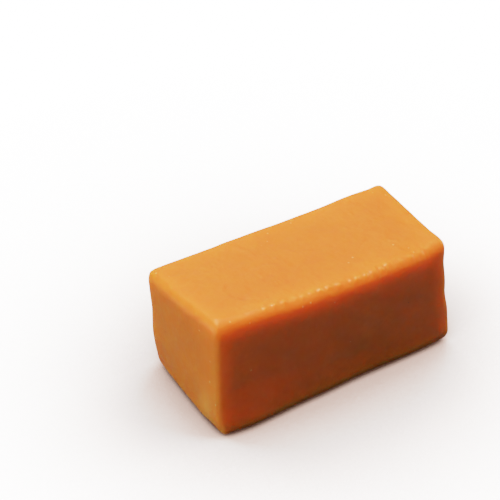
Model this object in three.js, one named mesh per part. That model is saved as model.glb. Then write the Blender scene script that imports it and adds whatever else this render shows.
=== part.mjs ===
/**
 * A soft caramel, unwrapped: one chewy block of cooked sugar, butter and milk. It was cut from a
 * warm slab, so its six faces are nearly flat and its edges are rounded, and it sagged a little as
 * it cooled, so no edge is quite straight, square or upright.
 *
 * Units are millimetres and +Z is up. X runs along the block, -X to its left end, Y runs across
 * it, -Y to its front, and the block stands on its flat base. The origin is on that base, at the
 * centre of the block's box.
 */
import * as THREE from 'three';
import { mergeVertices } from 'three/addons/utils/BufferGeometryUtils.js';

// Driving dimensions of the block before it sagged.
const length = 30;
const width = 14;
const height = 13.8;
const edgeRadius = 1.2;

// How far the foot and the head of each upright edge wandered from a square block's, along X, Y
// and, at the head, Z. The feet stay on the base.
const uprights = [
  { name: 'left front', side: [-1, -1], foot: [0.1, -0.7], head: [0.2, 0.55, 0.7] },
  { name: 'left back', side: [-1, 1], foot: [0.4, -0.1], head: [-0.7, 0, -0.55] },
  { name: 'right front', side: [1, -1], foot: [0.55, -0.25], head: [-0.85, 0.55, -0.25] },
  { name: 'right back', side: [1, 1], foot: [0, 0], head: [0.25, 0, -0.1] },
];

// How far each standing face swells outwards: bow is the swell of its middle between its two
// upright edges, from foot to head alike, and crown is what its centre has on top of that.
const standingFaces = [
  { name: 'front', direction: [0, -1], bow: 0.6, crown: -0.1 },
  { name: 'back', direction: [0, 1], bow: 0.35, crown: 0 },
  { name: 'left end', direction: [-1, 0], bow: 0.25, crown: 0.25 },
  { name: 'right end', direction: [1, 0], bow: 0.15, crown: -0.05 },
];

// How far the long edges of the top sag at mid-length.
const frontEdgeSag = 0.2;
const backEdgeSag = 0.3;

// Small swells (height above 0) and hollows (below 0): each is centred on a point of the sagged
// block, pushes the surface towards one side and fades out over its reach.
const frontwards = [0, -1, 0];
const leftwards = [-1, 0, 0];
const rightwards = [1, 0, 0];
const swells = [
  { name: 'front foot', centre: [-11.3, -7.9, 0.6], reach: 2.6, height: 0.2, towards: frontwards },
  { name: 'corner foot', centre: [-14.7, -7.7, 0.5], reach: 1.5, height: -0.15, towards: frontwards },
  { name: 'left foot', centre: [-15.3, -1.3, 0.5], reach: 3, height: -0.1, towards: leftwards },
  { name: 'back foot', centre: [-15, 6.3, 1], reach: 1.5, height: -0.15, towards: leftwards },
  { name: 'back belly', centre: [-15.4, 6.3, 4.6], reach: 1.5, height: 0.15, towards: leftwards },
  { name: 'back waist', centre: [-15.6, 6.3, 8.5], reach: 2.5, height: -0.15, towards: leftwards },
  { name: 'right belly', centre: [15.2, -7.3, 3.4], reach: 2.2, height: 0.15, towards: rightwards },
  { name: 'right waist', centre: [14.7, -7, 7.2], reach: 1.6, height: -0.15, towards: rightwards },
  { name: 'shoulder', centre: [14.3, -6.5, 11], reach: 1.8, height: -0.15, towards: rightwards },
];

// Steps of the surface: across one rounded edge, and along each flat between two of them.
const edgeSteps = 4;
const flatSteps = { length: 20, width: 9, height: 9 };

const caramelMaterial = new THREE.MeshStandardMaterial({
  color: 0xd8924a,
  roughness: 0.42,
  metalness: 0,
});

/** Places of the surface's grid lines along one side of the block, closer at the rounded edges. */
function gridLines(side, steps) {
  const flatHalf = side / 2 - edgeRadius;
  const lines = [];
  for (let i = 0; i < edgeSteps; i += 1) {
    const angle = (Math.PI / 4) * (1 - i / edgeSteps);
    lines.push(-flatHalf - edgeRadius * Math.tan(angle));
  }
  for (let i = 0; i <= steps; i += 1) {
    lines.push(flatHalf * (2 * i / steps - 1));
  }
  for (let i = 1; i <= edgeSteps; i += 1) {
    const angle = (Math.PI / 4) * (i / edgeSteps);
    lines.push(flatHalf + edgeRadius * Math.tan(angle));
  }
  return lines;
}

/** A point of a sharp-edged block, moved onto the same block with rounded edges and corners. */
function rounded(point) {
  const flatHalf = new THREE.Vector3(length, width, height).multiplyScalar(0.5)
    .subScalar(edgeRadius);
  const core = point.clone().clamp(flatHalf.clone().negate(), flatHalf);
  const outwards = point.clone().sub(core);
  return core.addScaledVector(outwards.normalize(), edgeRadius);
}

/** How far the sag moves a point, given as shares of the half-sides, -1 to 1 each way. */
function sag(share) {
  const rise = (1 + share.z) / 2;
  const midLength = 1 - share.x ** 2;
  const midWidth = 1 - share.y ** 2;
  const midHeight = 1 - share.z ** 2;
  const shift = new THREE.Vector3();
  for (const { side, foot, head } of uprights) {
    const weight = (1 + side[0] * share.x) * (1 + side[1] * share.y) / 4;
    shift.x += weight * THREE.MathUtils.lerp(foot[0], head[0], rise);
    shift.y += weight * THREE.MathUtils.lerp(foot[1], head[1], rise);
    shift.z += weight * rise * head[2];
  }
  for (const { direction, bow, crown } of standingFaces) {
    const nearness = (1 + direction[0] * share.x + direction[1] * share.y) / 2;
    const along = direction[0] === 0 ? midLength : midWidth;
    const out = nearness * along * (bow + crown * midHeight);
    shift.x += direction[0] * out;
    shift.y += direction[1] * out;
  }
  const edgeSag = THREE.MathUtils.lerp(frontEdgeSag, backEdgeSag, (1 + share.y) / 2);
  shift.z -= edgeSag * midLength * rise;
  return shift;
}

/** The small swells and hollows near a point. */
function unevenness(point) {
  const shift = new THREE.Vector3();
  for (const { centre, reach, height: swellHeight, towards } of swells) {
    const distance = point.distanceTo(new THREE.Vector3(...centre));
    const fade = Math.exp(-((distance / reach) ** 2));
    shift.addScaledVector(new THREE.Vector3(...towards), swellHeight * fade);
  }
  return shift;
}

/** The block's surface: a closed box of grid squares, each of its points moved into place. */
function blockSurface() {
  const xLines = gridLines(length, flatSteps.length);
  const yLines = gridLines(width, flatSteps.width);
  const zLines = gridLines(height, flatSteps.height);
  const xSteps = xLines.length - 1;
  const ySteps = yLines.length - 1;
  const zSteps = zLines.length - 1;
  const box = new THREE.BoxGeometry(1, 1, 1, xSteps, ySteps, zSteps);
  box.deleteAttribute('normal');
  box.deleteAttribute('uv');
  const surface = mergeVertices(box);

  const places = surface.getAttribute('position');
  const halves = new THREE.Vector3(length, width, height).multiplyScalar(0.5);
  const point = new THREE.Vector3();
  for (let i = 0; i < places.count; i += 1) {
    point.fromBufferAttribute(places, i).addScalar(0.5);
    const onGrid = new THREE.Vector3(
      xLines[Math.round(point.x * xSteps)],
      yLines[Math.round(point.y * ySteps)],
      zLines[Math.round(point.z * zSteps)],
    );
    const onBlock = rounded(onGrid);
    const sagged = onBlock.clone().add(sag(onBlock.clone().divide(halves)));
    sagged.z += height / 2;
    sagged.add(unevenness(sagged));
    places.setXYZ(i, sagged.x, sagged.y, sagged.z);
  }
  return surface;
}

/** The same surface with the origin at the centre of its box, on the base. */
function onItsBase(surface) {
  surface.computeBoundingBox();
  const centre = surface.boundingBox.getCenter(new THREE.Vector3());
  surface.translate(-centre.x, -centre.y, -surface.boundingBox.min.z);
  surface.computeVertexNormals();
  return surface;
}

const caramel = new THREE.Mesh(onItsBase(blockSurface()), caramelMaterial);
caramel.name = 'caramel';

const candy = new THREE.Group();
candy.add(caramel);

export default candy;
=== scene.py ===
"""A soft caramel without its wrapper: the finish and the fine shape of one sagged, hand-cut block.

Lengths are in millimetres, and MM turns them into metres. Only the table and the lamps, which are
far larger, are given in metres. X runs along the block to its right end, Y across it to its back,
and Z up from its flat base.
"""
import math
import random

import bmesh
import bpy
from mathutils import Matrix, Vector
from mathutils.kdtree import KDTree


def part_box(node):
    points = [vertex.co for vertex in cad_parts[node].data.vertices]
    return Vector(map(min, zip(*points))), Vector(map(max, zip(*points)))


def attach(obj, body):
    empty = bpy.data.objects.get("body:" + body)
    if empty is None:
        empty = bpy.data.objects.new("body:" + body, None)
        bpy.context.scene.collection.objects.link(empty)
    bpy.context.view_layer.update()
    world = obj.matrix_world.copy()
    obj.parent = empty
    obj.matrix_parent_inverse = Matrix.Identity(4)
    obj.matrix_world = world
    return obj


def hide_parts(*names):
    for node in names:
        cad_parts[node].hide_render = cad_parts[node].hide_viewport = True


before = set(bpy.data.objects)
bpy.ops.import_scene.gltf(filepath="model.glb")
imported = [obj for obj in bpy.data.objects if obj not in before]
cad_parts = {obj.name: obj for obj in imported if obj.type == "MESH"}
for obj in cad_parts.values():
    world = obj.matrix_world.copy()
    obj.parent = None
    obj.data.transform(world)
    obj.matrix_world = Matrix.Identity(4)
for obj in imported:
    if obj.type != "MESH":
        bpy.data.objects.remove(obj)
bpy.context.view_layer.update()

MM = 0.001

# ---------------------------------------------------------------- the block's shape
LENGTH = 30.0
WIDTH = 14.0
HEIGHT = 13.8
HALF = Vector((LENGTH, WIDTH, HEIGHT)) / 2

# Rounding of each edge, by the two sides of the block that meet there.
EDGE_ROUNDINGS = [
    {"sides": (0, -1, 1), "radius": 1.25},
    {"sides": (0, 1, 1), "radius": 1.2},
    {"sides": (-1, 0, 1), "radius": 1.1},
    {"sides": (1, 0, 1), "radius": 1.0},
    {"sides": (-1, -1, 0), "radius": 0.6},
    {"sides": (-1, 1, 0), "radius": 1.2},
    {"sides": (1, -1, 0), "radius": 0.8},
    {"sides": (1, 1, 0), "radius": 1.2},
    {"sides": (0, -1, -1), "radius": 1.5},
    {"sides": (0, 1, -1), "radius": 1.3},
    {"sides": (-1, 0, -1), "radius": 1.3},
    {"sides": (1, 0, -1), "radius": 1.2},
]
ROUNDING_STEPS = 4
SAME_EDGE = 0.1   # how far off its place an edge may lie, in shares of the half-sides

# The flats are sliced finely along the block, where the knife marks lie, and coarsely across it.
SLICES = [
    {"axis": 0, "margin": 1.8, "step": 0.4},
    {"axis": 1, "margin": 1.6, "step": 0.9},
    {"axis": 2, "margin": 1.8, "step": 1.2},
]
SMOOTHING_LEVELS = 2

# How far the foot and the head of each upright edge wandered from a square block's.
UPRIGHTS = [
    {"side": (-1, -1), "foot": (-0.12, -0.5), "head": (0.2, 0.2, 0.6)},
    {"side": (-1, 1), "foot": (0.4, -0.1), "head": (-0.62, 0.0, -0.55)},
    {"side": (1, -1), "foot": (0.4, -0.4), "head": (-1.0, 0.15, -0.15)},
    {"side": (1, 1), "foot": (0.0, 0.0), "head": (0.25, 0.0, -0.1)},
]

# Swell of each standing face: bow between its upright edges, and crown more at its centre.
STANDING_FACES = [
    {"direction": (0, -1), "bow": 0.6, "crown": -0.1},
    {"direction": (0, 1), "bow": 0.35, "crown": 0.0},
    {"direction": (-1, 0), "bow": 0.25, "crown": 0.25},
    {"direction": (1, 0), "bow": 0.15, "crown": -0.05},
]
FRONT_EDGE_SAG = 0.2
BACK_EDGE_SAG = 0.3
CAGE_POINTS = (17, 9, 9)   # of the cage that bends the block, along X, Y and Z

# Swells and hollows a fingertip or the knife left: centre, reach, and the push on the surface.
SWELLS = [
    {"centre": (-9.8, -7.9, 0.6), "reach": 3.0, "push": (0, -0.35, 0)},        # front foot, left
    {"centre": (3.5, -7.9, 0.8), "reach": 5.0, "push": (0, 0.25, 0)},          # front foot, middle
    {"centre": (-15.3, -1.3, 0.5), "reach": 3.0, "push": (0.1, 0, 0)},         # left foot, middle
    {"centre": (-15.0, 6.0, 1.6), "reach": 1.5, "push": (-0.1, 0, 0)},         # left foot, back
    {"centre": (-15.4, 6.3, 4.6), "reach": 2.2, "push": (-0.3, 0, 0)},         # belly above it
    {"centre": (15.2, -7.3, 3.4), "reach": 2.2, "push": (0.03, 0, 0)},         # right front belly
    {"centre": (14.7, -7.0, 7.2), "reach": 1.6, "push": (-0.28, 0, 0)},        # right front waist
    {"centre": (14.3, -6.5, 11.0), "reach": 1.8, "push": (-0.32, 0, 0)},       # right front shoulder
    {"centre": (12.0, -6.5, 13.2), "reach": 2.0, "push": (0, 0.12, -0.15)},    # front top edge, right
    {"centre": (-12.5, -5.6, 13.6), "reach": 1.6, "push": (0, 0.12, -0.12)},   # front top edge, left
    {"centre": (-12.4, -7.5, 0.6), "reach": 2.0, "push": (0, -0.3, 0)},        # front foot, far left
    {"centre": (-14.5, -7.4, 0.4), "reach": 1.2, "push": (0, -0.2, 0)},        # left front foot corner
    {"centre": (-14.9, -7.0, 0.2), "reach": 0.7, "push": (-0.1, -0.3, 0)},     # the tip of it
    {"centre": (-15.3, -5.4, 0.4), "reach": 0.9, "push": (0.16, 0, 0)},        # left foot, front
    {"centre": (-15.2, -7.2, 0.6), "reach": 1.0, "push": (0.3, 0.05, 0)},      # above that tip
    {"centre": (3.5, -7.0, 0.3), "reach": 3.0, "push": (0, 0.05, 0.03)},       # under the front foot
    {"centre": (14.3, -6.2, 13.4), "reach": 1.6, "push": (0.1, 0, 0.3)},       # right front top corner
    {"centre": (14.5, 0.5, 13.6), "reach": 3.0, "push": (0, 0, -0.12)},        # right top edge
    {"centre": (-14.3, -7.0, 13.3), "reach": 1.1, "push": (0, -0.05, -0.25)},  # left front top corner
    {"centre": (14.6, 6.6, 13.4), "reach": 0.9, "push": (0.05, 0.15, 0.15)},   # right back top corner
    {"centre": (10.5, 6.8, 13.6), "reach": 2.5, "push": (0, 0.05, 0.15)},      # back top edge, right
]
REACH_TO_RADIUS = 1.9   # a soft push with this radius fades like a bell of reach 1

# How long each top corner was rubbed round by handling.
TOP_CORNERS = [
    {"side": (-1, -1), "rubs": 12},
    {"side": (-1, 1), "rubs": 12},
    {"side": (1, -1), "rubs": 6},
    {"side": (1, 1), "rubs": 12},
]
CORNER_REACH = 1.9
RUB_STRENGTH = 0.5

# Shallow dimples pressed into each side, scattered by chance.
DIMPLES = [
    {"side": (0, 0, 1), "count": 14, "depth": 0.05, "radius": 1.3},
    {"side": (0, 0, 1), "count": 110, "depth": 0.03, "radius": 0.55},
    {"side": (0, -1, 0), "count": 10, "depth": 0.05, "radius": 1.6},
    {"side": (0, 1, 0), "count": 10, "depth": 0.05, "radius": 1.6},
    {"side": (-1, 0, 0), "count": 5, "depth": 0.05, "radius": 1.6},
    {"side": (1, 0, 0), "count": 5, "depth": 0.05, "radius": 1.6},
]
DIMPLE_SPREAD = 0.88   # share of each half-side that they keep to
DIMPLE_SEED = 3

# Creases that handling pressed into the top: three places on each, depth and half width.
CREASES = [
    {"route": [(-10.1, -0.9), (-10.5, -2.6), (-9.7, -3.8)], "depth": 0.05, "radius": 0.6},
    {"route": [(-9.9, -3.6), (-9.1, -4.6), (-7.6, -4.9)], "depth": 0.085, "radius": 0.6},
    {"route": [(-7.8, -4.8), (-7.0, -4.9), (-6.2, -4.6)], "depth": 0.04, "radius": 0.5},
    {"route": [(-5.6, 5.0), (-5.0, 3.9), (-4.9, 2.6)], "depth": -0.03, "radius": 0.45},
    {"route": [(-4.9, 0.4), (-4.4, 0.1), (-3.8, -0.2)], "depth": -0.04, "radius": 0.3},
]
CREASE_STEP = 0.5   # share of the radius between one push of a crease and the next

# The left top edge is uneven where the block was pulled from its neighbour.
TORN_EDGE = {
    "x": -15.1,
    "z": 13.4,
    "from_y": -5.5,
    "to_y": 6.0,
    "gaps": (0.7, 1.3),
    "heights": (-0.05, 0.06),
    "radius": 0.8,
    "rise": (-0.7, 0, 0.7),
}
TEAR_SEED = 5

# Nicks in the top: short strokes that catch the light, as place, length along the block, height.
TOP_NICKS = [
    {"x": -6.2, "y": -1.2, "length": 0.0, "height": 0.08},
    {"x": -5.4, "y": -3.0, "length": 0.8, "height": 0.08},
    {"x": -3.2, "y": 0.6, "length": 0.0, "height": 0.07},
    {"x": -1.0, "y": 0.9, "length": 0.3, "height": 0.07},
    {"x": 9.3, "y": -3.2, "length": 0.6, "height": 0.09},
    {"x": 6.5, "y": 1.5, "length": 0.0, "height": 0.08},
    {"x": 8.5, "y": 3.5, "length": 0.0, "height": 0.08},
]
NICK_RADIUS = 0.32
NICK_STOPS = (-0.5, 0, 0.5)   # shares of its length at which a stroke is raised
NICK_SLANT = 0.3              # how far a stroke comes to the front on its way to the right

# Beads that the blade drew up where the front top edge starts to turn: place and height.
EDGE_BEADS = [
    {"place": (-8.9, -6.2), "height": 0.08},
    {"place": (-7.75, -6.25), "height": 0.12},
    {"place": (-6.65, -6.3), "height": 0.13},
    {"place": (-5.35, -6.4), "height": 0.08},
    {"place": (-4.45, -6.45), "height": 0.09},
    {"place": (-3.4, -6.4), "height": 0.12},
    {"place": (-2.35, -6.45), "height": 0.13},
    {"place": (-1.25, -6.45), "height": 0.12},
    {"place": (-0.1, -6.6), "height": 0.13},
    {"place": (1.4, -6.9), "height": 0.07},
    {"place": (2.15, -6.85), "height": 0.12},
    {"place": (3.2, -6.85), "height": 0.11},
    {"place": (4.2, -6.8), "height": 0.11},
    {"place": (5.3, -6.75), "height": 0.11},
    {"place": (6.15, -6.4), "height": 0.12},
    {"place": (7.9, -6.7), "height": 0.11},
    {"place": (9.2, -6.65), "height": 0.11},
    {"place": (10.6, -6.5), "height": 0.09},
    {"place": (11.8, -6.4), "height": 0.08},
]
BEAD_RADIUS = 0.55
BEAD_RISE = (0, -0.3, 1)

# Fine ridges over the whole rounding of that edge, in runs along the block.
RIDGE_RUNS = [
    {"from_x": -12.5, "to_x": 0.0, "gaps": (0.5, 1.3), "heights": (0.01, 0.02), "radius": 0.35},
    {"from_x": 0.5, "to_x": 13.6, "gaps": (0.45, 0.85), "heights": (0.02, 0.05), "radius": 0.3},
]
RIDGE_RISE = (0, -0.6, 0.8)
RIDGE_HALF_WIDTH = 0.06
RIDGE_LEAN = 0.2   # the most that one leans to the left or the right
RIDGE_SEED = 7

# The rounding that the ridges cross, by how much its skin faces up, to the front and to an end.
ROUNDING_LEAST_UP = 0.35
ROUNDING_MIDDLE_UP = 0.7
ROUNDING_LEAST_FRONT = 0.12
ROUNDING_MOST_ENDWARDS = 0.5

# Gentle unevenness of the whole skin: size of the lumps and how far they rise.
LUMPS = [
    {"name": "lumps", "size": 5.0, "rise": 0.12},
    {"name": "dimples", "size": 1.4, "rise": 0.02},
]
FLAT_FOOT = 0.2   # the skin stays as it is up to this height,
FOOT_FADE = 1.5   # and is as uneven as elsewhere this much higher

# Light painted into the colour near the edges: a painted glow where light would come through them, and
# a painted highlight on the top along the left top edge.
GLOW_REACH = 1.2         # how far from an edge it fades
GLOW_REACH_LIT = 0.8     # how much farther it reaches where the skin faces the light,
GLOW_LOSS_LIT = 0.4      # and the share of it that is lost to sight there
GLOW_ON_TOP = 0.6        # how strong it is on the top, along the left top edge
GLOW_ABOVE_FOOT = 1.5    # it is gone at the foot, and whole from this height up
EDGE_FACES_LESS = 0.87   # the skin of an edge faces no side more than this,
LEFT_TOP_FACES = 0.3     # and that of the left top edge faces left and up more than this


# ---------------------------------------------------------------- helpers
def choose(piece):
    """Makes a piece the active one, and the only one selected."""
    bpy.ops.object.select_all(action="DESELECT")
    bpy.context.view_layer.objects.active = piece
    piece.select_set(True)


def edit(piece):
    """Opens a piece for editing, with nothing of it selected."""
    choose(piece)
    bpy.ops.object.mode_set(mode="EDIT")
    bpy.ops.mesh.select_all(action="DESELECT")


def done():
    """Closes the piece that is open for editing."""
    bpy.ops.object.mode_set(mode="OBJECT")


def select_edges(piece, wanted):
    """Selects the edges that a test on each edge picks."""
    bpy.ops.mesh.select_mode(type="EDGE")
    mesh = bmesh.from_edit_mesh(piece.data)
    for edge in mesh.edges:
        edge.select_set(wanted(edge))
    mesh.select_flush_mode()
    bmesh.update_edit_mesh(piece.data)


def select_points(piece, wanted):
    """Selects the points that a test on each point picks, and says how many."""
    bpy.ops.mesh.select_mode(type="VERT")
    mesh = bmesh.from_edit_mesh(piece.data)
    for point in mesh.verts:
        point.select_set(wanted(point))
    bmesh.update_edit_mesh(piece.data)
    return sum(point.select for point in mesh.verts)


def tree_of(points):
    """A tree that finds the nearest of these points."""
    points = list(points)
    tree = KDTree(len(points))
    for point in points:
        tree.insert(point.co, point.index)
    tree.balance()
    return tree


def select_nearest(piece, places):
    """Selects the point of the piece that lies nearest to each place, in metres."""
    tree = tree_of(bmesh.from_edit_mesh(piece.data).verts)
    chosen = {tree.find(place)[1] for place in places}
    select_points(piece, lambda point: point.index in chosen)


def apply_modifier(piece, modifier):
    """Makes what a modifier does to a piece part of its mesh."""
    choose(piece)
    bpy.ops.object.modifier_apply(modifier=modifier.name)


def push_selected(push, radius):
    """Moves what is selected, and its surroundings less and less out to a radius, in metres."""
    bpy.ops.transform.translate(
        value=push,
        use_proportional_edit=True,
        proportional_edit_falloff="SMOOTH",
        proportional_size=radius,
    )


def soft_push(piece, places, push, radius):
    """Pushes the skin near each place, all in mm; the push fades out to a radius."""
    select_nearest(piece, [Vector(place) * MM for place in places])
    push_selected(Vector(push) * MM, radius * MM)


# ---------------------------------------------------------------- the block
def round_edges(block):
    """Gives each edge of the cube its own rounding."""
    widest = max(rounding["radius"] for rounding in EDGE_ROUNDINGS)
    edit(block)
    for rounding in EDGE_ROUNDINGS:
        place = Vector(rounding["sides"])

        def on_this_edge(edge):
            middle = (edge.verts[0].co + edge.verts[1].co) / 2 / MM - Vector((0, 0, HALF.z))
            share = Vector(m / h for m, h in zip(middle, HALF))
            return (share - place).length < SAME_EDGE

        select_edges(block, on_this_edge)
        bpy.ops.transform.edge_bevelweight(value=rounding["radius"] / widest)
    done()
    bevel = block.modifiers.new("rounded_edges", "BEVEL")
    bevel.limit_method = "WEIGHT"
    bevel.width = widest * MM
    bevel.segments = ROUNDING_STEPS
    apply_modifier(block, bevel)


def slice_flats(block):
    """Cuts the flats between the rounded edges into a grid that can be bent and pressed."""
    edit(block)
    for slices in SLICES:
        axis = slices["axis"]
        normal = Vector((0, 0, 0))
        normal[axis] = 1
        low = -HALF[axis] + slices["margin"]
        room = 2 * (HALF[axis] - slices["margin"])
        count = round(room / slices["step"])
        floor_shift = HALF.z if axis == 2 else 0
        for cut in range(count + 1):
            bpy.ops.mesh.select_all(action="SELECT")
            bpy.ops.mesh.bisect(
                plane_co=normal * (floor_shift + low + room * cut / count) * MM,
                plane_no=normal,
            )
    done()


def square_block():
    """The block as cut: a cube stretched to size, its edges rounded, its flats sliced."""
    bpy.ops.object.select_all(action="DESELECT")
    bpy.ops.mesh.primitive_cube_add(
        size=1,
        location=(0, 0, HALF.z * MM),
        scale=2 * HALF * MM,
    )
    block = bpy.context.object
    block.name = "caramel_block"
    block.data.name = "caramel_block"
    bpy.ops.object.transform_apply(location=True, rotation=True, scale=True)
    round_edges(block)
    slice_flats(block)
    return block


def sag(share):
    """How far the sag moves a point, in mm, given as shares of the half-sides, -1 to 1."""
    rise = (1 + share.z) / 2
    mid_length, mid_width, mid_height = (1 - s * s for s in share)
    shift = Vector((0, 0, 0))
    for upright in UPRIGHTS:
        side_x, side_y = upright["side"]
        weight = (1 + side_x * share.x) * (1 + side_y * share.y) / 4
        foot = Vector((*upright["foot"], 0))
        shift += weight * foot.lerp(Vector(upright["head"]), rise)
    for face in STANDING_FACES:
        out_x, out_y = face["direction"]
        nearness = (1 + out_x * share.x + out_y * share.y) / 2
        along = mid_width if out_x else mid_length
        swell = nearness * along * (face["bow"] + face["crown"] * mid_height)
        shift += swell * Vector((out_x, out_y, 0))
    edge_sag = FRONT_EDGE_SAG + (BACK_EDGE_SAG - FRONT_EDGE_SAG) * (1 + share.y) / 2
    shift.z -= edge_sag * mid_length * rise
    return shift


def sag_block(block):
    """Pulls the block out of square with a cage of control points."""
    bpy.ops.object.select_all(action="DESELECT")
    bpy.ops.object.add(type="LATTICE", location=(0, 0, HALF.z * MM))
    cage = bpy.context.object
    cage.scale = 2 * HALF * MM
    cage.data.points_u, cage.data.points_v, cage.data.points_w = CAGE_POINTS
    for way in ("u", "v", "w"):
        setattr(cage.data, "interpolation_type_" + way, "KEY_CATMULL_ROM")
    for point in cage.data.points:
        shift = sag(2 * point.co)
        share = Vector(s / (2 * h) for s, h in zip(shift, HALF))
        point.co_deform = point.co + share
    modifier = block.modifiers.new("sag", "LATTICE")
    modifier.object = cage
    bpy.context.view_layer.update()
    apply_modifier(block, modifier)
    bpy.data.objects.remove(cage)


def smooth_finer(block):
    """Splits the faces finely enough for the smallest marks, and smooths them."""
    modifier = block.modifiers.new("finer", "SUBSURF")
    modifier.levels = SMOOTHING_LEVELS
    modifier.render_levels = SMOOTHING_LEVELS
    apply_modifier(block, modifier)


def press_swells(block):
    """Pushes each swell out and each hollow in."""
    edit(block)
    for swell in SWELLS:
        soft_push(block, [swell["centre"]], swell["push"], swell["reach"] * REACH_TO_RADIUS)
    done()


def rub_top_corners(block):
    """Smooths the skin round each top corner, one rub after another."""
    edit(block)
    for corner in TOP_CORNERS:
        side_x, side_y = corner["side"]
        place = Vector((side_x * HALF.x, side_y * HALF.y, HEIGHT)) * MM
        select_points(block, lambda point: (point.co - place).length < CORNER_REACH * MM)
        bpy.ops.mesh.vertices_smooth(factor=RUB_STRENGTH, repeat=corner["rubs"])
    done()


def press_dimples(block):
    """Presses the dimples: on each side, as many soft pushes straight in, at chance places."""
    draw = random.Random(DIMPLE_SEED)
    edit(block)
    for dimples in DIMPLES:
        side = Vector(dimples["side"])
        places = []
        for dimple in range(dimples["count"]):
            chance = Vector(draw.uniform(-DIMPLE_SPREAD, DIMPLE_SPREAD) for axis in range(3))
            share = Vector(out if out else place for out, place in zip(side, chance))
            places.append(Vector(s * h for s, h in zip(share, HALF)) + Vector((0, 0, HALF.z)))
        soft_push(block, places, -side * dimples["depth"], dimples["radius"])
    done()


def press_creases(block):
    """Draws each crease with soft pushes along a curve through its three places."""
    edit(block)
    for crease in CREASES:
        start, middle, end = (Vector(place) for place in crease["route"])
        bend = 2 * middle - (start + end) / 2
        stops = math.ceil((end - start).length / (CREASE_STEP * crease["radius"]))
        places = []
        for stop in range(stops + 1):
            t = stop / stops
            place = start * (1 - t) ** 2 + bend * 2 * t * (1 - t) + end * t ** 2
            places.append((*place, HEIGHT))
        soft_push(block, places, (0, 0, -crease["depth"]), crease["radius"])
    done()


def tear_left_edge(block):
    """Pulls the left top edge out or presses it in, step by step from front to back."""
    draw = random.Random(TEAR_SEED)
    edit(block)
    y = TORN_EDGE["from_y"]
    while y < TORN_EDGE["to_y"]:
        height = draw.uniform(*TORN_EDGE["heights"])
        place = (TORN_EDGE["x"], y, TORN_EDGE["z"])
        push = [part * height for part in TORN_EDGE["rise"]]
        soft_push(block, [place], push, TORN_EDGE["radius"])
        y += draw.uniform(*TORN_EDGE["gaps"])
    done()


def raise_nicks(block):
    """Raises each nick: a single point, or the points along a stroke."""
    edit(block)
    for nick in TOP_NICKS:
        for stop in NICK_STOPS if nick["length"] else (0,):
            place = (nick["x"] + stop * nick["length"], nick["y"] - NICK_SLANT * stop, HEIGHT)
            soft_push(block, [place], (0, 0, nick["height"]), NICK_RADIUS)
    done()


def draw_beads(block):
    """Raises the row of beads along the front top edge."""
    edit(block)
    for bead in EDGE_BEADS:
        push = Vector(BEAD_RISE) * bead["height"]
        soft_push(block, [(*bead["place"], HEIGHT)], push, BEAD_RADIUS)
    done()


def draw_ridges(block):
    """Raises the fine ridges across the rounding of the front top edge, run by run."""
    draw = random.Random(RIDGE_SEED)
    edit(block)
    for run in RIDGE_RUNS:
        x = run["from_x"]
        while x < run["to_x"]:
            lean = draw.uniform(-RIDGE_LEAN, RIDGE_LEAN)

            def on_the_ridge(point):
                facing = point.normal
                if facing.z < ROUNDING_LEAST_UP or facing.y > -ROUNDING_LEAST_FRONT:
                    return False
                if abs(facing.x) > ROUNDING_MOST_ENDWARDS:
                    return False
                across = facing.z - ROUNDING_MIDDLE_UP
                return abs(point.co.x / MM - x - lean * across) < RIDGE_HALF_WIDTH

            if select_points(block, on_the_ridge):
                height = draw.uniform(*run["heights"])
                push_selected(Vector(RIDGE_RISE) * height * MM, run["radius"] * MM)
            x += draw.uniform(*run["gaps"])
    done()


def above_the_foot(block):
    """A vertex group that leaves the underside flat and lets the rest move."""
    group = block.vertex_groups.new(name="above_the_foot")
    for point in block.data.vertices:
        share = (point.co.z / MM - FLAT_FOOT) / FOOT_FADE
        group.add([point.index], min(1, max(0, share)), "REPLACE")


def roughen(block):
    """Lifts and sinks the whole skin a little, in soft lumps."""
    above_the_foot(block)
    for lumps in LUMPS:
        texture = bpy.data.textures.new(lumps["name"], "CLOUDS")
        texture.noise_scale = lumps["size"] * MM
        texture.noise_depth = 1
        modifier = block.modifiers.new(lumps["name"], "DISPLACE")
        modifier.texture = texture
        modifier.texture_coords = "LOCAL"
        modifier.mid_level = 0.5
        modifier.strength = lumps["rise"] * MM
        modifier.vertex_group = "above_the_foot"
        apply_modifier(block, modifier)
        bpy.data.textures.remove(texture)
    block.vertex_groups.clear()


def centre_on_frame(block):
    """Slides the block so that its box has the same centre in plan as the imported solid's."""
    low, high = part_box("caramel")
    corners = [Vector(corner) for corner in block.bound_box]
    middle = (corners[0] + corners[6]) / 2   # these two lie opposite each other
    slide = (low + high) / 2 - middle
    edit(block)
    bpy.ops.mesh.select_all(action="SELECT")
    bpy.ops.transform.translate(value=(slide.x, slide.y, 0))
    done()


def paint_glow_on_edges(block):
    """Keeps on each point how much light is painted into its colour near an edge: a glow where light
    would come through the edge, and a highlight on the top along the left top edge.
    """
    points = block.data.vertices
    turned = [point for point in points if max(map(abs, point.normal)) < EDGE_FACES_LESS]
    left_top = [point for point in turned if min(-point.normal.x, point.normal.z) > LEFT_TOP_FACES]
    kept = {point.index for point in left_top}
    shaded_edges = tree_of(point for point in turned if point.index not in kept)
    lit_edge = tree_of(left_top)
    # painted light: how strongly the glow is painted into the colour near the edges, kept on each
    # point
    glow = block.data.attributes.new("painted_glow", "FLOAT", "POINT")
    for point, mark in zip(points, glow.data):
        up = max(point.normal.z, 0)
        lit = max(up, -point.normal.x) ** 2
        through = shaded_edges.find(point.co)[2] / MM / (GLOW_REACH + GLOW_REACH_LIT * lit)
        over = lit_edge.find(point.co)[2] / MM / (GLOW_REACH + GLOW_REACH_LIT)
        foot = max(0, 1 - point.co.z / MM / GLOW_ABOVE_FOOT)
        mark.value = max(
            (1 - GLOW_LOSS_LIT * lit) * (1 - foot) * math.exp(-through ** 2),
            GLOW_ON_TOP * up ** 2 * math.exp(-over ** 2),
        )


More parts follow.
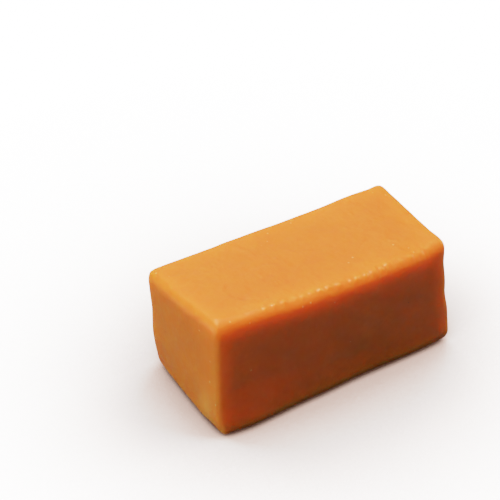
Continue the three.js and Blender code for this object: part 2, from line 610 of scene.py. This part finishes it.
def make_caramel():
    """The whole block, from the cut to its last small mark."""
    block = square_block()
    sag_block(block)
    smooth_finer(block)
    press_swells(block)
    rub_top_corners(block)
    press_dimples(block)
    press_creases(block)
    tear_left_edge(block)
    raise_nicks(block)
    draw_beads(block)
    draw_ridges(block)
    roughen(block)
    centre_on_frame(block)
    paint_glow_on_edges(block)
    for face in block.data.polygons:
        face.use_smooth = True
    return block


# ---------------------------------------------------------------- finish
CARAMEL = (0.80, 0.235, 0.04, 1)
DEEPER_CARAMEL_AND_SHADE = (0.74, 0.20, 0.031, 1)     # where the boil browned a little more, and the painted shade on the middle of the top
# painted light: paler caramel where the white table lights the left side low at the front
PAINTED_LIGHT_CARAMEL = (1.0, 0.44, 0.12, 1)
PAINTED_GLOW_COLOUR = (1.0, 0.272, 0.042, 1)       # painted glow, where light would come through the edges
# grains of milk, painted paler so that they also stand in for glints
MILK_GRAIN_AND_GLINT = (0.95, 0.50, 0.20, 1)
BURNT_GRAIN = (0.42, 0.10, 0.02, 1)
GRAIN_CORE = 0.6    # a grain is whole up to this share of its radius,
GRAIN_RIM = 1.4     # and has faded out at this one

# Round patches of the skin: centre, radii, and the height of their fade that counts as whole.
# painted shade: the middle of the top made darker
PAINTED_SHADE_TOP_MIDDLE = {"centre": (-0.6, -1.6, 13.8), "radii": (7.0, 5.0, 3.0)}
# painted pool of light on the left side, low at the front
PAINTED_LIGHT_LEFT_FOOT = {"centre": (-15.6, -4.7, 2.9), "radii": (2.8, 2.7, 4.5), "full": 0.9}
RUBBED_CORNER = {"centre": (-14.8, -6.5, 13.8), "radii": (4.0, 4.0, 4.0), "full": 0.5}
POLISHED_EDGE = {"centre": (-3.5, -6.6, 13.5), "radii": (8.5, 1.4, 1.4)}


def add_node(tree, kind, **settings):
    """A shader node with its sockets set: each setting is the name of an input, with _ for spaces."""
    node = tree.nodes.new("ShaderNode" + kind)
    for name, value in settings.items():
        node.inputs[name.replace("_", " ")].default_value = value
    return node


def noise(tree, where, grain_mm, detail, stretch=None):
    """Values from 0 to 1 that change over about one grain; a stretch lengthens them along an axis."""
    if stretch:
        squash = add_node(tree, "Mapping", Scale=tuple(1 / length for length in stretch))
        tree.links.new(where, squash.inputs["Vector"])
        where = squash.outputs["Vector"]
    cloud = add_node(tree, "TexNoise", Scale=1 / (grain_mm * MM), Detail=detail)
    tree.links.new(where, cloud.inputs["Vector"])
    return cloud.outputs["Fac"]


def combine(tree, operation, first, second):
    """What an operation makes of two values that change over the skin."""
    result = add_node(tree, "Math")
    result.operation = operation
    tree.links.new(first, result.inputs[0])
    tree.links.new(second, result.inputs[1])
    return result.outputs["Value"]


def spread(tree, value, low, high, start=0.3, end=0.7):
    """Stretches the values between start and end to the range from low to high."""
    ranged = add_node(tree, "MapRange", From_Min=start, From_Max=end, To_Min=low, To_Max=high)
    tree.links.new(value, ranged.inputs["Value"])
    return ranged.outputs["Result"]


def grains(tree, where, spacing_mm, radius_mm, kept):
    """A mask of small round grains, about one to a cell; they gather where kept is high."""
    cells = add_node(tree, "TexVoronoi", Scale=1 / (spacing_mm * MM))
    tree.links.new(where, cells.inputs["Vector"])
    rim = GRAIN_RIM * radius_mm / spacing_mm
    core = GRAIN_CORE * radius_mm / spacing_mm
    round_grain = spread(tree, cells.outputs["Distance"], low=0, high=1, start=rim, end=core)
    chance = add_node(tree, "SeparateColor")
    tree.links.new(cells.outputs["Color"], chance.inputs["Color"])
    present = combine(tree, "LESS_THAN", chance.outputs["Red"], kept)
    return combine(tree, "MULTIPLY", round_grain, present)


def patch(tree, where, centre, radii, full=1.0):
    """A soft round mask: 0 beyond its radii, and 1 where its fade has risen to full."""
    scale = [1 / (radius * MM) for radius in radii]
    shift = [-place * MM * share for place, share in zip(centre, scale)]
    shrink = add_node(tree, "Mapping", Scale=scale, Location=shift)
    ball = add_node(tree, "TexGradient")
    ball.gradient_type = "QUADRATIC_SPHERE"
    tree.links.new(where, shrink.inputs["Vector"])
    tree.links.new(shrink.outputs["Vector"], ball.inputs["Vector"])
    return spread(tree, ball.outputs["Fac"], low=0, high=1, start=0, end=full)


def between(tree, factor, first, second):
    """A colour that goes from the first to the second as the factor rises from 0 to 1."""
    mix = add_node(tree, "Mix")
    mix.data_type = "RGBA"   # of its many sockets, colours go in at 6 and 7 and come out at 2
    factor_in, first_in, second_in = mix.inputs[0], mix.inputs[6], mix.inputs[7]
    tree.links.new(factor, factor_in)
    for socket, colour in ((first_in, first), (second_in, second)):
        if isinstance(colour, tuple):
            socket.default_value = colour
        else:
            tree.links.new(colour, socket)
    return mix.outputs[2]


def raised(tree, height, rise_mm, below=None):
    """A normal for a skin that a height from 0 to 1 lifts, on top of a coarser one below it."""
    bump = add_node(tree, "Bump", Strength=1.0, Distance=rise_mm * MM)
    tree.links.new(height, bump.inputs["Height"])
    if below:
        tree.links.new(below, bump.inputs["Normal"])
    return bump.outputs["Normal"]


def skin_colour(tree, where, milk, burnt):
    """Caramel that browned in soft clouds, with painted light and shade: a glow at its edges, shade on
    the middle of the top and a pool of light low at the left front; and its grains on top, painted
    paler so that they also stand in for glints.
    """
    clouds = noise(tree, where, grain_mm=4.5, detail=3)
    mottle = noise(tree, where, grain_mm=0.45, detail=2)
    painted_glow = add_node(tree, "Attribute")
    painted_glow.attribute_name = "painted_glow"
    colour = between(tree, spread(tree, clouds, low=0, high=1), CARAMEL, DEEPER_CARAMEL_AND_SHADE)
    colour = between(tree, spread(tree, mottle, low=0, high=0.7), colour, DEEPER_CARAMEL_AND_SHADE)
    # painted glow: the edges made brighter and more orange, standing in for light coming through them
    colour = between(tree, painted_glow.outputs["Fac"], colour, PAINTED_GLOW_COLOUR)
    # painted shade on the middle of the top
    colour = between(tree, patch(tree, where, **PAINTED_SHADE_TOP_MIDDLE), colour, DEEPER_CARAMEL_AND_SHADE)
    # painted pool of light on the left side, low at the front
    colour = between(tree, patch(tree, where, **PAINTED_LIGHT_LEFT_FOOT), colour, PAINTED_LIGHT_CARAMEL)
    # grains of milk, painted paler so that they also stand in as glints
    colour = between(tree, milk, colour, MILK_GRAIN_AND_GLINT)
    return between(tree, burnt, colour, BURNT_GRAIN)


def skin_coat(tree, where, wear):
    """A thin gloss: worn away in places, dulled at one corner, polished along the front top edge."""
    dulled = spread(tree, patch(tree, where, **RUBBED_CORNER), low=1.0, high=0.05, start=0, end=1)
    polish = spread(tree, patch(tree, where, **POLISHED_EDGE), low=0, high=0.6, start=0, end=1)
    gloss = combine(tree, "MULTIPLY", spread(tree, wear, low=0.45, high=0.15), dulled)
    return combine(tree, "ADD", gloss, polish)


def skin_relief(tree, where, milk):
    """Dents, drag marks of the blade down the sides, fine grain, and grains of milk that stand up."""
    dents = noise(tree, where, grain_mm=1.6, detail=2)
    drag = noise(tree, where, grain_mm=0.35, detail=2, stretch=(1, 1, 14))
    grain = noise(tree, where, grain_mm=0.2, detail=2)
    skin = raised(tree, dents, rise_mm=0.13)
    skin = raised(tree, drag, rise_mm=0.012, below=skin)
    skin = raised(tree, grain, rise_mm=0.006, below=skin)
    return raised(tree, milk, rise_mm=0.045, below=skin)


def caramel_finish():
    """Milky caramel that lets light in, with a worn, half-dull skin and a few grains."""
    material = bpy.data.materials.new("caramel_finish")
    material.use_nodes = True
    tree = material.node_tree
    shader = tree.nodes["Principled BSDF"]
    shader.inputs["Subsurface Weight"].default_value = 1.0
    shader.inputs["Subsurface Radius"].default_value = (1.0, 0.85, 1.0)
    shader.inputs["Subsurface Scale"].default_value = 3.0 * MM
    shader.inputs["Coat Roughness"].default_value = 0.12
    shader.inputs["Specular IOR Level"].default_value = 0.4
    where = add_node(tree, "TexCoord").outputs["Object"]

    flocks = noise(tree, where, grain_mm=3.5, detail=1)
    milky = spread(tree, flocks, low=0.02, high=0.4, start=0.45, end=0.75)
    scorched = spread(tree, flocks, low=0.3, high=0.1)
    milk = grains(tree, where, spacing_mm=1.0, radius_mm=0.10, kept=milky)
    burnt = grains(tree, where, spacing_mm=2.2, radius_mm=0.06, kept=scorched)
    wear = noise(tree, where, grain_mm=1.8, detail=4)

    tree.links.new(skin_colour(tree, where, milk, burnt), shader.inputs["Base Color"])
    tree.links.new(spread(tree, wear, low=0.45, high=0.60), shader.inputs["Roughness"])
    tree.links.new(skin_coat(tree, where, wear), shader.inputs["Coat Weight"])
    tree.links.new(skin_relief(tree, where, milk), shader.inputs["Normal"])
    return material


# ---------------------------------------------------------------- table and surroundings
TABLE_SIZE = 3.0     # metres
TABLE_WHITE = 5.0    # light that the film response turns into pure white
ROOM_LIGHT = 0.01    # what the block gets of the light of its white surroundings

# Painted shadow on the table: what is left of the table's white where the block hides a share of the
# light from it, warm near the block for a painted reflection of it.
PAINTED_TABLE_SHADOW = [
    {"open": 0.34, "colour": (0.012, 0.004, 0.002)},
    {"open": 0.40, "colour": (0.14, 0.084, 0.064)},
    {"open": 0.50, "colour": (0.22, 0.15, 0.128)},
    {"open": 0.69, "colour": (0.305, 0.212, 0.182)},
    {"open": 0.85, "colour": (0.66, 0.59, 0.56)},
    {"open": 0.98, "colour": (1.0, 1.0, 1.0)},
]
SHADE_REACH = 60     # how far the block shades the table

# The share of the light that the table throws back at the block: in front of it, and at its left.
TABLE_GLARE = (0.024, 0.056, 0.135, 1)
TABLE_GLARE_BESIDE = (0.135, 0.16, 0.15, 1)
BESIDE_FROM_X = -16
BESIDE_TO_X = -20


def make_floor():
    """A white table with the block's shadow painted on it, and that throws only a dim glare back at
    the block.
    """
    bpy.ops.object.select_all(action="DESELECT")
    bpy.ops.mesh.primitive_plane_add(size=TABLE_SIZE, location=(0, 0, 0))
    floor = bpy.context.object
    floor.name = "floor"
    material = bpy.data.materials.new("white_table")
    material.use_nodes = True
    tree = material.node_tree
    tree.nodes.remove(tree.nodes["Principled BSDF"])

    openness = add_node(tree, "AmbientOcclusion", Distance=SHADE_REACH * MM)
    openness.samples = 8
    shades = add_node(tree, "ValToRGB")
    ramp = shades.color_ramp
    while len(ramp.elements) < len(PAINTED_TABLE_SHADOW):
        ramp.elements.new(0.5)
    for element, shade in zip(ramp.elements, PAINTED_TABLE_SHADOW):
        element.position = shade["open"]
        element.color = (*shade["colour"], 1)
    seen = add_node(tree, "Emission", Strength=TABLE_WHITE)
    # painted shadow and reflection of the block, darkest at its foot
    tree.links.new(openness.outputs["AO"], shades.inputs["Fac"])
    tree.links.new(shades.outputs["Color"], seen.inputs["Color"])

    along = add_node(tree, "SeparateXYZ")
    tree.links.new(add_node(tree, "TexCoord").outputs["Object"], along.inputs["Vector"])
    start, end = BESIDE_FROM_X * MM, BESIDE_TO_X * MM
    beside = spread(tree, along.outputs["X"], low=0, high=1, start=start, end=end)
    bounced = add_node(tree, "BsdfDiffuse")
    tree.links.new(between(tree, beside, TABLE_GLARE, TABLE_GLARE_BESIDE), bounced.inputs["Color"])

    path = add_node(tree, "LightPath")
    mix = add_node(tree, "MixShader")
    tree.links.new(path.outputs["Is Camera Ray"], mix.inputs["Fac"])
    tree.links.new(bounced.outputs["BSDF"], mix.inputs[1])
    tree.links.new(seen.outputs["Emission"], mix.inputs[2])
    tree.links.new(mix.outputs["Shader"], tree.nodes["Material Output"].inputs["Surface"])
    floor.data.materials.append(material)


def make_world():
    """Surroundings that look pure white but hardly light the block."""
    world = bpy.data.worlds.new("studio")
    bpy.context.scene.world = world
    world.use_nodes = True
    tree = world.node_tree
    background = tree.nodes["Background"]
    background.inputs["Color"].default_value = (1.0, 1.0, 1.0, 1)
    path = add_node(tree, "LightPath")
    strength = add_node(tree, "MapRange", To_Min=ROOM_LIGHT, To_Max=TABLE_WHITE)
    tree.links.new(path.outputs["Is Camera Ray"], strength.inputs["Value"])
    tree.links.new(strength.outputs["Result"], background.inputs["Strength"])


# ---------------------------------------------------------------- lamps
LAMP_DISTANCE = 0.40                # metres
WARM = (1.0, 0.71, 0.42)
WARM_FILL = (0.62, 0.71, 0.42)
RED = (1.0, 0.0, 0.0)               # the part of the light that reaches round the edges,
OVERHEAD_REST = (0.5, 0.71, 0.42)   # and what is left of the two lights that it comes out of
LEFT_REST = (0.6, 0.80, 0.43)


def make_light(name, direction, size, watts, colour):
    """A soft square light, its size in metres, that looks at the block from a direction."""
    lamp = bpy.data.lights.new(name, "AREA")
    lamp.size = size
    lamp.energy = watts
    lamp.color = colour
    light = bpy.data.objects.new(name, lamp)
    bpy.context.scene.collection.objects.link(light)
    towards = Vector(direction).normalized()
    light.location = towards * LAMP_DISTANCE + Vector((0, 0, HALF.z * MM))
    light.rotation_euler = towards.to_track_quat("Z", "Y").to_euler()
    return light


def make_lights():
    """Strong light from above and from the left, and weak light from the other sides."""
    make_light("overhead", (-0.03, 0.25, 0.97), size=0.16, watts=3.75, colour=OVERHEAD_REST)
    make_light("overhead_red", (0.04, -0.04, 1.0), size=0.16, watts=2.2, colour=RED)
    make_light("left", (-0.95, 0.25, 0.1), size=0.10, watts=1.31, colour=LEFT_REST)
    make_light("left_red", (-0.96, 0.1, 0.1), size=0.10, watts=0.54, colour=RED)
    fill = make_light("front_fill", (0.1, -0.85, 0.55), size=0.30, watts=0.38, colour=WARM_FILL)
    fill.visible_glossy = False
    make_light("right", (1.0, 0.1, 0.3), size=0.20, watts=0.95, colour=WARM)
    make_light("back", (0.3, 0.9, 0.45), size=0.30, watts=0.20, colour=WARM)


# ---------------------------------------------------------------- film
FILM_SOFTNESS = 0.86
FILM_STEPS = (0.1, 0.2, 0.35, 0.5, 0.7, 0.95, 1.3, 1.7, 2.2)   # amounts of light on its curve


def film_response(light):
    """How the film shows an amount of light: straight at first, then a long soft shoulder."""
    return FILM_SOFTNESS * (1 - math.exp(-light / FILM_SOFTNESS))


def set_film():
    """Shows the scene as film would, with the table's white as pure white."""
    view = bpy.context.scene.view_settings
    view.view_transform = "Standard"
    view.use_curve_mapping = True
    mapping = view.curve_mapping
    mapping.clip_max_x = TABLE_WHITE
    mapping.clip_max_y = 1.0
    curve = mapping.curves[3]   # the one for all three colours together
    curve.points[-1].location = (TABLE_WHITE, 1.0)
    for light in FILM_STEPS:
        curve.points.new(light, film_response(light))
    mapping.update()


# ---------------------------------------------------------------- camera
VIEW_AZIMUTH = -31.7     # degrees
VIEW_ELEVATION = 35.6
VIEW_DISTANCE = 141.3
AIM_RIGHT = -5.81        # how far past the block's middle the camera aims, as it sees it
AIM_UP = 5.85
AIM_HEIGHT = 7.0
LENS = 93.6
SENSOR_WIDTH = 36
NEAREST_SEEN = 5
FARTHEST_SEEN = 10_000


def make_camera():
    """A camera to the left of the block's front and above it, with the block low in its picture."""
    azimuth = math.radians(VIEW_AZIMUTH)
    elevation = math.radians(VIEW_ELEVATION)
    back = Vector((
        math.sin(azimuth) * math.cos(elevation),
        -math.cos(azimuth) * math.cos(elevation),
        math.sin(elevation),
    ))
    turn = back.to_track_quat("Z", "Y")
    right = turn @ Vector((1, 0, 0))
    up = turn @ Vector((0, 1, 0))
    aim = Vector((0, 0, AIM_HEIGHT)) + AIM_RIGHT * right + AIM_UP * up
    camera_data = bpy.data.cameras.new("camera")
    camera_data.sensor_width = SENSOR_WIDTH
    camera_data.lens = LENS
    camera_data.clip_start = NEAREST_SEEN * MM
    camera_data.clip_end = FARTHEST_SEEN * MM
    camera = bpy.data.objects.new("camera", camera_data)
    bpy.context.scene.collection.objects.link(camera)
    camera.location = (aim + back * VIEW_DISTANCE) * MM
    camera.rotation_euler = turn.to_euler()
    bpy.context.scene.camera = camera


make_camera()
caramel = make_caramel()
caramel.data.materials.append(caramel_finish())
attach(caramel, "root")
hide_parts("caramel")
make_floor()
make_world()
make_lights()
set_film()
